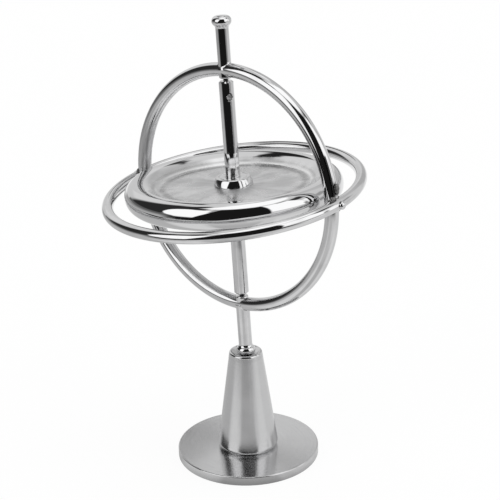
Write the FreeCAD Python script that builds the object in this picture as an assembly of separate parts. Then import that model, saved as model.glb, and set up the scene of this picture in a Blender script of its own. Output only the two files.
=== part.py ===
import FreeCAD, Part

import math
import os

from FreeCAD import Placement, Rotation, Vector

# Toy gyroscope standing on a turned pedestal.  Millimetres, +Z up, origin at the
# centre of the underside of the base.  The gyroscope pieces are drawn upright about
# their own axis, with their origin at the pivot (the point about which the foot
# rocks in its seat), and are then leaned over as one.

# --- Stand -------------------------------------------------------------------------
base_diameter = 36.0
base_thickness = 2.4
base_edge_chamfer = 0.3
pedestal_height = 26.3             # from the top of the base to the top of the lip
pedestal_bottom_diameter = 15.2
pedestal_top_diameter = 8.25
pedestal_bottom_round = 1.15       # height of the rounded lower edge
pedestal_bottom_inset = 0.7        # how far that edge draws in at the base
lip_round = 0.6
tenon_diameter = 8.0               # under the pedestal, pressed into the base
tenon_length = 1.4
tenon_recess_relief = 0.1          # free depth under the tenon

# --- Seat cup, let into the top of the pedestal ------------------------------------
cup_flange_height = 1.6
cup_spigot_diameter = 5.0
cup_spigot_length = 3.0
cup_running_clearance = 0.05       # radial, between the spigot and its bore
cup_bore_relief = 0.3              # free depth under the spigot
cup_spigot_chamfer = 0.3

# --- Foot and knob: flattened balls at the two ends --------------------------------
ball_diameter = 4.8
ball_rim_radius = 1.28             # the rim of the ball is fully round
ball_neck_fillet = 1.1
pivot_above_foot = 2.0             # pivot above the foot's widest plane
knob_dome_centre = 6.0             # the knob's dome is flatter than the foot's
foot_above_lip = 0.35              # foot's widest plane above the pedestal's lip
seat_clearance = 0.05

# --- Posts and bearings ------------------------------------------------------------
lower_post_diameter = 3.4
upper_post_diameter = 3.2
post_spigot_diameter = 2.0         # ends of the posts, in the balls and in the ring
ball_spigot_depth = 2.2
bearing_diameter = 3.2
bearing_stand_out = 0.4            # the bearing stands this far inside the ring
bearing_face_gap = 0.9             # from the end of the axle to the bearing's face
bearing_end_round = 0.45
bearing_socket_radius = 0.85
bearing_socket_depth = 0.95

# --- Rings -------------------------------------------------------------------------
rotor_ring_clearance = 1.1         # between the rotor's rim and the vertical ring
vertical_wire_diameter = 3.4
horizontal_wire_diameter = 2.86
ring_lap = 1.56                    # how far the two wires are let into each other
lower_post_length = 10.7           # from the vertical ring to the foot's widest plane
upper_post_length = 9.9            # from the vertical ring to the knob's widest plane
horizontal_ring_tilt = 5.4         # degrees, turned about the two joints
ring_plane_azimuth = -39.9         # degrees, plane of the vertical ring

# --- Pins and braze where the rings are lapped --------------------------------------
ring_pin_diameter = 1.5
ring_pin_bite = 1.4                # depth in the vertical ring's wire
ring_pin_head_diameter = 2.0
ring_pin_head_height = 0.8         # above the outside of the horizontal ring
ring_pin_dome_height = 0.7
ring_pin_seat_depth = 0.35         # flat filed on the wire under the head
ring_pin_seat_margin = 0.1
braze_radius = 2.75
braze_margin = 0.25                # the bead runs this far past the lap
post_braze_thickness = 0.2         # bead around each post where it meets the ring
post_braze_low = 0.7               # above the centre line of the ring's wire
post_braze_high = 0.35             # above the outside of the ring

# --- Rotor -------------------------------------------------------------------------
rotor_diameter = 53.4
rotor_above_centre = 0.18          # the rotor's mid plane above the rings' centre
rim_land_height = 0.28             # straight land around the outside of the rim
rim_side_round = 3.45
rim_side_turn = 59.0               # degrees of that round, before the tighter shoulder
rim_shoulder_round = 1.45
rim_width = 2.6                    # from the outside to the inner edge of the rim's flat
recess_brow_round = 6.5
recess_slope = 31.0                # degrees, side of the recess against the web
recess_cove_round = 2.2
web_thickness = 2.0
collar_diameter = 9.75
collar_height = 2.05
collar_crown = 0.6                 # the side of the collar bulges this far
collar_groove_radius = 3.5
collar_groove_width = 0.35
collar_groove_depth = 0.12
collar_countersink = 0.25

# --- Axle --------------------------------------------------------------------------
axle_diameter = 3.6
axle_end_chamfer = 0.35
string_hole_diameter = 1.5
string_hole_depth = 3.5            # below the upper end of the axle
string_hole_azimuth = -66.0        # degrees, side of the hole's visible mouth
string_hole_countersink = 0.3
pivot_pin_diameter = 1.2
pivot_pin_grip = 2.2               # length held in the axle, clear of the string hole
pivot_tip_clearance = 0.04         # between the cone of the pin and its socket

# --- How the gyroscope stands ------------------------------------------------------
lean_angle = 4.2                   # degrees from the vertical
lean_azimuth = 126.0               # degrees, the side it leans to

# --- Derived places ----------------------------------------------------------------
lip_height = base_thickness + pedestal_height
cone_top_height = lip_height - cup_flange_height
pivot_height = lip_height + foot_above_lip + pivot_above_foot
ball_rim_centre = ball_diameter / 2 - ball_rim_radius
foot_cap_radius = math.hypot(ball_rim_centre, pivot_above_foot) + ball_rim_radius
rotor_radius = rotor_diameter / 2
rim_inner_radius = rotor_radius - rim_width
web_half = web_thickness / 2
vertical_wire_radius = vertical_wire_diameter / 2
vertical_inner_radius = rotor_radius + rotor_ring_clearance
vertical_ring_radius = vertical_inner_radius + vertical_wire_radius
vertical_outer_radius = vertical_ring_radius + vertical_wire_radius
horizontal_wire_radius = horizontal_wire_diameter / 2
horizontal_inner_radius = vertical_outer_radius - ring_lap
horizontal_ring_radius = horizontal_inner_radius + horizontal_wire_radius
horizontal_outer_radius = horizontal_ring_radius + horizontal_wire_radius
pin_seat = horizontal_outer_radius - ring_pin_seat_depth
bearing_face = vertical_inner_radius - bearing_stand_out   # from the rings' centre
axle_half_length = bearing_face - bearing_face_gap
string_hole_height = axle_half_length - string_hole_depth  # above the rings' centre
centre_height = lower_post_length + vertical_outer_radius - pivot_above_foot
knob_height = centre_height + vertical_outer_radius + upper_post_length

AXIS = Vector(0, 0, 1)
ORIGIN = Vector(0, 0, 0)


def line(a, b):
    """Straight edge between two (radius, height) points."""
    return Part.LineSegment(Vector(a[0], 0, a[1]), Vector(b[0], 0, b[1])).toShape()


def arc(a, middle, b):
    """Arc edge through three (radius, height) points."""
    points = [Vector(p[0], 0, p[1]) for p in (a, middle, b)]
    return Part.Arc(*points).toShape()


def on_circle(centre, radius, degrees):
    """Point at an angle on a circle in the (radius, height) plane."""
    angle = math.radians(degrees)
    return (centre[0] + radius * math.cos(angle), centre[1] + radius * math.sin(angle))


def round_arc(centre, radius, start, end):
    """Arc edge about a centre, from one angle to another."""
    middle = (start + end) / 2
    return arc(*(on_circle(centre, radius, a) for a in (start, middle, end)))


def quarter(centre, across, up):
    """Point half way along a quarter ellipse about a centre."""
    share = math.sqrt(0.5)
    return (centre[0] + across * share, centre[1] + up * share)


def cap(rim, pole):
    """Arc from a rim point to the axis, about a centre on the axis."""
    rise = pole - rim[1]
    radius = (rim[0] ** 2 + rise ** 2) / (2 * abs(rise))
    side = math.copysign(1, rise)
    half = math.atan2(rim[0], radius - abs(rise)) / 2
    middle = (radius * math.sin(half), pole - side * radius * (1 - math.cos(half)))
    return arc(rim, middle, (0, pole))


def turned(edges):
    """Solid turned about the Z axis from the edges of a closed profile."""
    face = Part.Face(Part.Wire(Part.__sortEdges__(edges)))
    return face.revolve(ORIGIN, AXIS, 360)


def polygon(points):
    """Edges of a closed polygon of (radius, height) points."""
    return [line(a, b) for a, b in zip(points, points[1:] + points[:1])]


def rod(radius, low, high):
    """Round rod on the Z axis between two heights."""
    return Part.makeCylinder(radius, high - low, Vector(0, 0, low), AXIS)


def azimuth_vector(degrees):
    """Horizontal unit vector at an azimuth."""
    angle = math.radians(degrees)
    return Vector(math.cos(angle), math.sin(angle), 0)


def rod_along(direction, radius, start, end, height=0.0):
    """Round rod along a horizontal direction, between two distances from the axis."""
    foot = direction * start + AXIS * height
    return Part.makeCylinder(radius, end - start, foot, direction)


JOINT = azimuth_vector(ring_plane_azimuth)            # line of the two ring joints
RING_CENTRE = Vector(0, 0, centre_height)


# --- Stand pieces -------------------------------------------------------------------
def base_disc():
    """Flat turned disc with chamfered edges and a recess on top for the tenon."""
    radius = base_diameter / 2
    inset = radius - base_edge_chamfer
    recess = base_thickness - tenon_length - tenon_recess_relief
    return turned(polygon([
        (0, 0), (inset, 0), (radius, base_edge_chamfer),
        (radius, base_thickness - base_edge_chamfer), (inset, base_thickness),
        (tenon_diameter / 2, base_thickness), (tenon_diameter / 2, recess), (0, recess),
    ]))


def pedestal_radius(height):
    """Radius of the pedestal's straight side at a height above the table."""
    low = base_thickness + pedestal_bottom_round
    share = (height - low) / (lip_height - low)
    bottom = pedestal_bottom_diameter / 2
    return bottom + (pedestal_top_diameter / 2 - bottom) * share


def pedestal_cone():
    """Straight cone with a rounded foot and a tenon, bored for the seat cup."""
    foot_top = base_thickness + pedestal_bottom_round
    foot_radius = pedestal_bottom_diameter / 2
    foot_inner = foot_radius - pedestal_bottom_inset
    top_radius = pedestal_radius(cone_top_height)
    bend = quarter((foot_inner, foot_top), pedestal_bottom_inset, -pedestal_bottom_round)
    tenon = tenon_diameter / 2
    tenon_end = base_thickness - tenon_length
    cone = turned([
        line((0, tenon_end), (tenon, tenon_end)),
        line((tenon, tenon_end), (tenon, base_thickness)),
        line((tenon, base_thickness), (foot_inner, base_thickness)),
        arc((foot_inner, base_thickness), bend, (foot_radius, foot_top)),
        line((foot_radius, foot_top), (top_radius, cone_top_height)),
        line((top_radius, cone_top_height), (0, cone_top_height)),
        line((0, cone_top_height), (0, tenon_end)),
    ])
    bore_radius = cup_spigot_diameter / 2 + cup_running_clearance
    bore_bottom = cone_top_height - cup_spigot_length - cup_bore_relief
    return cone.cut(rod(bore_radius, bore_bottom, cone_top_height))


def seat_cup():
    """Cup with a rounded lip and a shallow dish, on a spigot that turns in the pedestal."""
    bottom_radius = pedestal_radius(cone_top_height)
    lip_radius = pedestal_radius(lip_height - lip_round)
    mouth = lip_radius - lip_round
    spigot = cup_spigot_diameter / 2
    spigot_bottom = cone_top_height - cup_spigot_length
    dish_bottom = pivot_height - foot_cap_radius - seat_clearance
    return turned([
        line((0, spigot_bottom), (spigot - cup_spigot_chamfer, spigot_bottom)),
        line((spigot - cup_spigot_chamfer, spigot_bottom), (spigot, spigot_bottom + cup_spigot_chamfer)),
        line((spigot, spigot_bottom + cup_spigot_chamfer), (spigot, cone_top_height)),
        line((spigot, cone_top_height), (bottom_radius, cone_top_height)),
        line((bottom_radius, cone_top_height), (lip_radius, lip_height - lip_round)),
        round_arc((mouth, lip_height - lip_round), lip_round, 0, 90),
        cap((mouth, lip_height), dish_bottom),
        line((0, dish_bottom), (0, spigot_bottom)),
    ])


# --- Balls and posts (gyroscope frame, origin at the pivot) --------------------------
def neck_top(post_diameter):
    """Height at which a ball's neck fillet runs out on its post, and its span outwards."""
    span = post_diameter / 2 + ball_neck_fillet - ball_rim_centre
    return math.sqrt((ball_rim_radius + ball_neck_fillet) ** 2 - span ** 2), span


def flattened_ball(post_diameter, dome_centre):
    """Ball end, widest at height 0, dome downwards, neck and spigot bore upwards."""
    post = post_diameter / 2
    rim = (ball_rim_centre, 0)
    dome_radius = math.hypot(ball_rim_centre, dome_centre) + ball_rim_radius
    dome_angle = -90 + math.degrees(math.atan2(ball_rim_centre, dome_centre))
    neck_height, neck_span = neck_top(post_diameter)
    neck = (post + ball_neck_fillet, neck_height)
    touch_angle = math.degrees(math.atan2(neck_height, neck_span))
    ball = turned([
        round_arc((0, dome_centre), dome_radius, -90, dome_angle),
        round_arc(rim, ball_rim_radius, dome_angle, touch_angle),
        round_arc(neck, ball_neck_fillet, 180 + touch_angle, 180),
        line((post, neck_height), (0, neck_height)),
        line((0, neck_height), (0, dome_centre - dome_radius)),
    ])
    bore = rod(post_spigot_diameter / 2, neck_height - ball_spigot_depth, neck_height)
    return ball.cut(bore)


def foot_ball():
    """Ball end at the bottom, domed underneath about the pivot."""
    ball = flattened_ball(lower_post_diameter, pivot_above_foot)
    ball.translate(Vector(0, 0, -pivot_above_foot))
    return ball


def top_knob():
    """The same ball end, turned over, at the top."""
    ball = flattened_ball(upper_post_diameter, knob_dome_centre)
    ball.rotate(ORIGIN, Vector(1, 0, 0), 180)
    ball.translate(Vector(0, 0, knob_height))
    return ball


def vertical_wire():
    """Full torus of the vertical ring's wire, before any hole."""
    normal = AXIS.cross(JOINT)
    return Part.makeTorus(vertical_ring_radius, vertical_wire_radius, RING_CENTRE, normal)


def horizontal_wire():
    """Full torus of the horizontal ring's wire, turned about the line of the joints."""
    torus = Part.makeTorus(horizontal_ring_radius, horizontal_wire_radius, RING_CENTRE, AXIS)
    torus.rotate(RING_CENTRE, JOINT, horizontal_ring_tilt)
    return torus


def post(diameter, ball_height, side):
    """Post from a ball's neck to the vertical ring, coped to sit on its wire.

    side is -1 for the lower post and 1 for the upper one.
    """
    neck_height, _ = neck_top(diameter)
    spigot = post_spigot_diameter / 2
    neck = ball_height - side * neck_height
    ring = centre_height + side * vertical_ring_radius
    shaft_low, shaft_high = sorted((neck, ring))
    shaft = rod(diameter / 2, shaft_low, shaft_high).cut(vertical_wire())
    ends = sorted((neck + side * ball_spigot_depth, ring))
    return shaft.fuse(rod(spigot, *ends)).removeSplitter()


def lower_post():
    """Post between the foot and the vertical ring."""
    return post(lower_post_diameter, -pivot_above_foot, -1)


def upper_post():
    """Post between the vertical ring and the top knob."""
    return post(upper_post_diameter, knob_height, 1)


def post_braze():
    """Beads of braze around the ends of the two posts, on the shoulders of the ring."""
    low = vertical_ring_radius + post_braze_low
    high = vertical_outer_radius + post_braze_high
    wire = vertical_wire()
    wire.translate(-RING_CENTRE)
    beads = []
    for side, diameter in ((-1, lower_post_diameter), (1, upper_post_diameter)):
        inner = diameter / 2
        bead = turned([
            line((inner, low), (inner, high)),
            arc((inner, high), (inner + post_braze_thickness, (low + high) / 2), (inner, low)),
        ]).cut(wire)
        if side < 0:
            bead.rotate(ORIGIN, JOINT, 180)
        bead.translate(RING_CENTRE)
        beads.extend(bead.Solids)
    return Part.makeCompound(beads)


def bearing(side):
    """Bearing cup inside the vertical ring, with a cone socket for the pivot pin."""
    radius = bearing_diameter / 2
    face = bearing_face
    body = turned([
        line((0, face), (radius - bearing_end_round, face)),
        round_arc((radius - bearing_end_round, face + bearing_end_round), bearing_end_round, -90, 0),
        line((radius, face + bearing_end_round), (radius, vertical_ring_radius)),
        line((radius, vertical_ring_radius), (0, vertical_ring_radius)),
        line((0, vertical_ring_radius), (0, face)),
    ])
    wire = vertical_wire()
    wire.translate(-RING_CENTRE)
    spigot = rod(post_spigot_diameter / 2, face + bearing_end_round, vertical_ring_radius)
    socket = Part.makeCone(bearing_socket_radius, 0, bearing_socket_depth, Vector(0, 0, face), AXIS)
    cup = body.cut(wire).fuse(spigot).removeSplitter().cut(socket)
    if side < 0:
        cup.rotate(ORIGIN, JOINT, 180)
    cup.translate(RING_CENTRE)
    return cup


# --- Rings ---------------------------------------------------------------------------
def vertical_ring():
    """Ring that carries both bearings, drilled at its poles and at its two joints."""
    ring = vertical_wire()
    spigot = post_spigot_diameter / 2
    reach = vertical_ring_radius + vertical_wire_diameter
    ring = ring.cut(rod(spigot, centre_height - reach, centre_height + reach))
    depth = vertical_outer_radius - ring_pin_bite
    for side in (1, -1):
        ring = ring.cut(rod_along(JOINT * side, ring_pin_diameter / 2, depth, reach, centre_height))
    return ring


def horizontal_ring():
    """Outer ring, notched to lap over the vertical ring and drilled for the pins."""
    ring = horizontal_wire().cut(vertical_wire())
    inner = vertical_ring_radius
    outer = horizontal_ring_radius + horizontal_wire_diameter
    flat = ring_pin_head_diameter / 2 + ring_pin_seat_margin
    for side in (1, -1):
        ring = ring.cut(rod_along(JOINT * side, ring_pin_diameter / 2, inner, outer, centre_height))
        ring = ring.cut(rod_along(JOINT * side, flat, pin_seat, outer, centre_height))
    return ring


def ring_pin(side):
    """Pin through the lap, with a domed head on a flat filed on the outer wire."""
    seat = pin_seat
    depth = vertical_outer_radius - ring_pin_bite
    shank = ring_pin_diameter / 2
    head = ring_pin_head_diameter / 2
    top = horizontal_outer_radius + ring_pin_head_height
    edge = top - ring_pin_dome_height
    pin = turned([
        line((0, depth), (shank, depth)),
        line((shank, depth), (shank, seat)),
        line((shank, seat), (head, seat)),
        line((head, seat), (head, edge)),
        cap((head, edge), top),
        line((0, top), (0, depth)),
    ])
    pin.Placement = Placement(RING_CENTRE, Rotation(AXIS, JOINT * side))
    return pin


def ring_pins():
    """The two pins of the ring joints."""
    return Part.makeCompound([ring_pin(1), ring_pin(-1)])


def ring_braze():
    """Beads of braze in the corners between the lapped rings."""
    low = horizontal_inner_radius - braze_margin
    high = vertical_outer_radius + braze_margin
    beads = []
    for side in (1, -1):
        direction = JOINT * side
        ball = Part.makeSphere(braze_radius, direction * ((low + high) / 2) + RING_CENTRE)
        slab = rod_along(direction, braze_radius * 2, low, high, centre_height)
        corners = ball.common(slab).cut(vertical_wire()).cut(horizontal_wire())
        beads.extend(corners.Solids)
    return Part.makeCompound(beads)


# --- Rotor ---------------------------------------------------------------------------
def rotor_disc():
    """Flywheel: heavy rounded rim, web in a dished recess, bored for the axle."""
    bore = axle_diameter / 2
    land = rim_land_height / 2
    edges = [
        line((rotor_radius, -land), (rotor_radius, land)),
        line((bore, web_half), (bore, -web_half)),
    ]
    for side in (1, -1):
        rim, crest = rim_side(side)
        recess, web_radius = recess_side(side, crest[1] * side)
        edges.extend(rim)
        edges.append(line(crest, (rim_inner_radius, crest[1])))
        edges.extend(recess)
        edges.append(line((web_radius, side * web_half), (bore, side * web_half)))
    disc = turned(edges)
    disc.translate(RING_CENTRE + AXIS * rotor_above_centre)
    return disc


def rim_side(side):
    """Rounded outside of the rim, from its land to its crest, and the crest's point."""
    centre = (rotor_radius - rim_side_round, side * rim_land_height / 2)
    shoulder = on_circle(centre, rim_side_round - rim_shoulder_round, side * rim_side_turn)
    edges = [
        round_arc(centre, rim_side_round, 0, side * rim_side_turn),
        round_arc(shoulder, rim_shoulder_round, side * rim_side_turn, side * 90),
    ]
    return edges, (shoulder[0], shoulder[1] + side * rim_shoulder_round)


def recess_side(side, rim_half):
    """Side of the recess, from the rim's flat to the web, and the radius it ends at."""
    turn = math.radians(recess_slope)
    brow = (rim_inner_radius, side * (rim_half - recess_brow_round))
    start = on_circle(brow, recess_brow_round, side * (90 + recess_slope))
    end_height = web_half + recess_cove_round * (1 - math.cos(turn))
    end_radius = start[0] - (start[1] * side - end_height) / math.tan(turn)
    cove = (end_radius - recess_cove_round * math.sin(turn), side * (web_half + recess_cove_round))
    edges = [
        round_arc(brow, recess_brow_round, side * 90, side * (90 + recess_slope)),
        line(start, (end_radius, side * end_height)),
        round_arc(cove, recess_cove_round, -side * (90 - recess_slope), -side * 90),
    ]
    return edges, cove[0]


def collar(side):
    """Hub collar with a crowned side, pressed on the axle against the web."""
    radius = collar_diameter / 2
    edge = radius - collar_crown
    bore = axle_diameter / 2
    low = web_half
    high = web_half + collar_height
    groove_low = collar_groove_radius - collar_groove_width / 2
    groove_high = collar_groove_radius + collar_groove_width / 2
    hub = turned([
        line((bore, low), (edge, low)),
        arc((edge, low), (radius, (low + high) / 2), (edge, high)),
        line((edge, high), (groove_high, high)),
        arc((groove_high, high), (collar_groove_radius, high - collar_groove_depth), (groove_low, high)),
        line((groove_low, high), (bore + collar_countersink, high)),
        line((bore + collar_countersink, high), (bore, high - collar_countersink)),
        line((bore, high - collar_countersink), (bore, low)),
    ])
    if side < 0:
        hub.rotate(ORIGIN, Vector(1, 0, 0), 180)
    hub.translate(RING_CENTRE + AXIS * rotor_above_centre)
    return hub


def axle():
    """Axle with chamfered ends, bored for the pivot pins and cross-drilled for a cord."""
    radius = axle_diameter / 2
    end = axle_half_length
    pin = pivot_pin_diameter / 2
    shaft = turned(polygon([
        (0, -end), (radius - axle_end_chamfer, -end), (radius, -end + axle_end_chamfer),
        (radius, end - axle_end_chamfer), (radius - axle_end_chamfer, end), (0, end),
    ]))
    shaft = shaft.cut(rod(pin, end - pivot_pin_grip, end))
    shaft = shaft.cut(rod(pin, -end, -end + pivot_pin_grip))
    mouth = azimuth_vector(string_hole_azimuth)
    hole = string_hole_diameter / 2
    shaft = shaft.cut(rod_along(mouth, hole, -radius * 2, radius * 2, string_hole_height))
    for side in (1, -1):
        start = mouth * (side * (radius - string_hole_countersink)) + AXIS * string_hole_height
        sink = Part.makeCone(
            hole, hole + 2 * string_hole_countersink, 2 * string_hole_countersink, start, mouth * side)
        shaft = shaft.cut(sink)
    shaft.translate(RING_CENTRE)
    return shaft


def pivot_pin(side):
    """Hard pin in the end of the axle, coned to run in the bearing's socket."""
    radius = pivot_pin_diameter / 2
    slope = bearing_socket_depth / bearing_socket_radius
    tip = bearing_face + bearing_socket_depth - pivot_tip_clearance * math.hypot(1, slope)
    shoulder = tip - radius * slope
    low = axle_half_length - pivot_pin_grip
    pin = turned(polygon([(0, low), (radius, low), (radius, shoulder), (0, tip)]))
    if side < 0:
        pin.rotate(ORIGIN, Vector(1, 0, 0), 180)
    pin.translate(RING_CENTRE)
    return pin


# --- Placing and writing ---------------------------------------------------------------
def leaned(shape):
    """Gyroscope piece moved to the pivot and leaned over."""
    hinge = AXIS.cross(azimuth_vector(lean_azimuth))
    placed = shape.copy()
    placed.rotate(ORIGIN, hinge, lean_angle)
    placed.translate(Vector(0, 0, pivot_height))
    return placed


def build():
    """All pieces by name, each where it stands."""
    gyroscope = {
        "foot_ball": foot_ball(),
        "lower_post": lower_post(),
        "lower_bearing": bearing(-1),
        "vertical_ring": vertical_ring(),
        "horizontal_ring": horizontal_ring(),
        "ring_pins": ring_pins(),
        "ring_braze": ring_braze(),
        "post_braze": post_braze(),
        "upper_bearing": bearing(1),
        "upper_post": upper_post(),
        "top_knob": top_knob(),
        "rotor_disc": rotor_disc(),
        "upper_collar": collar(1),
        "lower_collar": collar(-1),
        "axle": axle(),
        "upper_pivot_pin": pivot_pin(1),
        "lower_pivot_pin": pivot_pin(-1),
    }
    pieces = {
        "base_disc": base_disc(),
        "pedestal_cone": pedestal_cone(),
        "seat_cup": seat_cup(),
    }
    pieces.update({name: leaned(shape) for name, shape in gyroscope.items()})
    return pieces


os.makedirs("parts", exist_ok=True)
for name, shape in build().items():
    shape.exportStep("parts/" + name + ".step")
    print(name, len(shape.Solids), "solids", round(shape.Volume, 2), "mm3", shape.isValid())
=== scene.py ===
import logging
import math
from dataclasses import dataclass, field
from enum import Enum
from functools import cached_property
from typing import Optional, Sequence, Union

import bmesh
import bpy
from bpy.types import ID, Material, Mesh, Modifier, Node, NodeSocket, NodeTree, Object
from mathutils import Matrix, Vector, noise


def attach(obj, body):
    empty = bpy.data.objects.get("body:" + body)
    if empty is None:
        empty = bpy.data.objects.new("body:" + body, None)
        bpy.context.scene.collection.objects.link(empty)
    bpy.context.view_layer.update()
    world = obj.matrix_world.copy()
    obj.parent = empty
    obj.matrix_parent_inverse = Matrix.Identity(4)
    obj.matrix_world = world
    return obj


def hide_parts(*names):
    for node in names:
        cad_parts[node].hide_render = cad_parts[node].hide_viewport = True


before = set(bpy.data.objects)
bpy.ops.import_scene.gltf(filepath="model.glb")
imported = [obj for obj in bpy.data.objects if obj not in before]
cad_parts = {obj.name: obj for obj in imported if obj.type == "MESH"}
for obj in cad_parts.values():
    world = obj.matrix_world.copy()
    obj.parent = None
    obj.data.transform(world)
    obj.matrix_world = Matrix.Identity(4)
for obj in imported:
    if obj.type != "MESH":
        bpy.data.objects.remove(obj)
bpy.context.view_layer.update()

log = logging.getLogger("gyroscope")

# Metres in a millimetre and in a centimetre, and how close two points are taken to be one.
MM = 0.001
CM = 0.01
SAME = 1e-5
WHITE = (1.0, 1.0, 1.0, 1.0)

# A place or a range; a place or a colour; a ramp's range and its results; a number in a sum.
Point = tuple[float, float]
Triple = tuple[float, float, float]
Ramp = tuple[float, float, float, float]
Term = Union["Value", float]


class Body(Enum):
    """The moving bodies that pieces ride on."""

    STAND = "stand"
    SEAT = "seat"
    CAGE = "cage"
    ROTOR = "rotor"


# --- Shader and geometry graphs ---


class Value:
    """A socket that can be used in Python sums; each sum adds a Math node."""

    def __init__(self, graph: "Graph", socket: NodeSocket) -> None:
        """Wrap a socket.

        Args:
            graph: the graph that holds the socket's node.
            socket: the output socket that carries the number.
        """
        self.graph = graph
        self.socket = socket

    def _sum(self, operation: str, *terms: Term) -> "Value":
        """Return the result of one Math node on the given terms."""
        made = self.graph.node("ShaderNodeMath", {"operation": operation}, dict(enumerate(terms)))
        return Value(self.graph, made.outputs[0])

    def __add__(self, other: Term) -> "Value":
        """Return self + other."""
        return self._sum("ADD", self, other)

    __radd__ = __add__

    def __sub__(self, other: Term) -> "Value":
        """Return self - other."""
        return self._sum("SUBTRACT", self, other)

    def __rsub__(self, other: Term) -> "Value":
        """Return other - self."""
        return self._sum("SUBTRACT", other, self)

    def __mul__(self, other: Term) -> "Value":
        """Return self * other."""
        return self._sum("MULTIPLY", self, other)

    __rmul__ = __mul__

    def __neg__(self) -> "Value":
        """Return self with its sign turned round."""
        return self * -1.0

    def __abs__(self) -> "Value":
        """Return the size of self without its sign."""
        return self._sum("ABSOLUTE", self)

    def reach(self, other: "Value") -> "Value":
        """Return the length of the arrow (self, other)."""
        return self._sum("SQRT", self * self + other * other)

    def sine(self) -> "Value":
        """Return the sine of self in radians."""
        return self._sum("SINE", self)

    def angle(self, across: "Value") -> "Value":
        """Return the angle of the direction (across, self), in radians."""
        return self._sum("ARCTAN2", self, across)

    def arcsine(self) -> "Value":
        """Return the angle whose sine is self, in radians."""
        return self._sum("ARCSINE", self)

    def degrees(self) -> "Value":
        """Return self, an angle in radians, in degrees."""
        return self * math.degrees(1)

    def wrapped(self, whole: float) -> "Value":
        """Return self less as many wholes as bring it between 0 and one whole."""
        return self._sum("FLOORED_MODULO", self, whole)

    def least(self, other: Term) -> "Value":
        """Return the smaller of self and other."""
        return self._sum("MINIMUM", self, other)

    def most(self, other: Term) -> "Value":
        """Return the larger of self and other."""
        return self._sum("MAXIMUM", self, other)

    def ramp(self, start: float, end: float, low: float = 0.0, high: float = 1.0) -> "Value":
        """Return self moved smoothly from low at start to high at end.

        Args:
            start: the value of self where the result is low.
            end: the value of self where the result is high.
            low: the result before start.
            high: the result after end.

        Returns:
            The eased value.
        """
        if start > end:
            start, end, low, high = end, start, high, low
        made = self.graph.node(
            "ShaderNodeMapRange",
            {"interpolation_type": "SMOOTHSTEP"},
            {"Value": self, "From Min": start, "From Max": end, "To Min": low, "To Max": high},
        )
        return Value(self.graph, made.outputs[0])


Feed = Union[Value, NodeSocket, float, int, bool, Sequence[float], ID]


@dataclass(frozen=True)
class Grain:
    """Look of a noise: how fine it is, and the number and strength of its finer layers."""

    scale: float
    detail: float = 3.0
    rough: float = 0.5


class Graph:
    """A node tree that is written from Python."""

    def __init__(self, tree: NodeTree) -> None:
        """Start on an empty tree."""
        self.tree = tree
        tree.nodes.clear()

    def node(
        self,
        kind: str,
        settings: Optional[dict[str, object]] = None,
        sockets: Optional[dict[Union[int, str], Feed]] = None,
    ) -> Node:
        """Add one node.

        Args:
            kind: the node's type.
            settings: the node's own options, which are set first.
            sockets: value or link of each input, by name or place.

        Returns:
            The new node.
        """
        made = self.tree.nodes.new(kind)
        for name, value in (settings or {}).items():
            setattr(made, name, value)
        for key, value in (sockets or {}).items():
            socket = made.inputs[key]
            if isinstance(value, Value):
                value = value.socket
            if isinstance(value, NodeSocket):
                self.tree.links.new(value, socket)
            else:
                socket.default_value = value
        return made

    def constant(self, number: float) -> Value:
        """Return a fixed number as a value.

        Args:
            number: The number.

        Returns:
            The number as a value of this graph.
        """
        made = self.node("ShaderNodeValue")
        made.outputs[0].default_value = number
        return Value(self, made.outputs[0])

    def split(self, vector: NodeSocket) -> tuple[Value, Value, Value]:
        """Return the three parts of a vector."""
        made = self.node("ShaderNodeSeparateXYZ", None, {0: vector})
        return tuple(Value(self, socket) for socket in made.outputs)

    def join(self, x: Feed, y: Feed, z: Feed) -> NodeSocket:
        """Return a vector of three parts."""
        return self.node("ShaderNodeCombineXYZ", None, {0: x, 1: y, 2: z}).outputs[0]


# --- Places ---


def direction(azimuth: float) -> Vector:
    """Return the level direction at an azimuth, in degrees from X."""
    side = math.radians(azimuth)
    return Vector((math.cos(side), math.sin(side), 0))


def lifted(height: float) -> Matrix:
    """Return the move upwards by a height."""
    return Matrix.Translation((0, 0, height))


def turned(angle: float, axis: Union[str, Vector]) -> Matrix:
    """Return the turn by an angle in degrees about an axis."""
    return Matrix.Rotation(math.radians(angle), 4, axis)


@dataclass(frozen=True)
class Lean:
    """Where the gyroscope's own upright frame stands in the world.

    Lengths are in millimetres and angles in degrees.
    """

    pivot_height: float = 31.05
    angle: float = 4.2
    azimuth: float = 126.0
    centre_height: float = 39.9

    def matrix(self, height: float) -> Matrix:
        """Return the move from the gyroscope's frame to the world, in metres.

        Args:
            height: where the piece's own origin lies on the axis, above the pivot.

        Returns:
            The matrix, which takes millimetres to metres.
        """
        hinge = Vector((0, 0, 1)).cross(direction(self.azimuth))
        tip = turned(self.angle, hinge)
        return Matrix.Scale(MM, 4) @ lifted(self.pivot_height) @ tip @ lifted(height)

    def centre(self) -> Matrix:
        """Return the move for a piece drawn about the rings' centre."""
        return self.matrix(self.centre_height)


STAND = Matrix.Scale(MM, 4)
LEAN = Lean()


# --- Meshes ---


def new_mesh(points: Sequence[Sequence[float]], faces: Sequence[Sequence[int]]) -> Mesh:
    """Make a mesh.

    Args:
        points: its points.
        faces: the places of each face's points in that list.

    Returns:
        The mesh.
    """
    mesh = bpy.data.meshes.new("piece")
    mesh.from_pydata(points, [], faces)
    return mesh


def stored(work: bmesh.types.BMesh, mesh: Optional[Mesh] = None) -> Mesh:
    """Put an edited mesh in a mesh of its own, or back in the one that it came from.

    Args:
        work: the edited mesh; it is used up.
        mesh: the one that it came from.

    Returns:
        The mesh.
    """
    mesh = mesh or bpy.data.meshes.new("piece")
    work.to_mesh(mesh)
    work.free()
    return mesh


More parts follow.
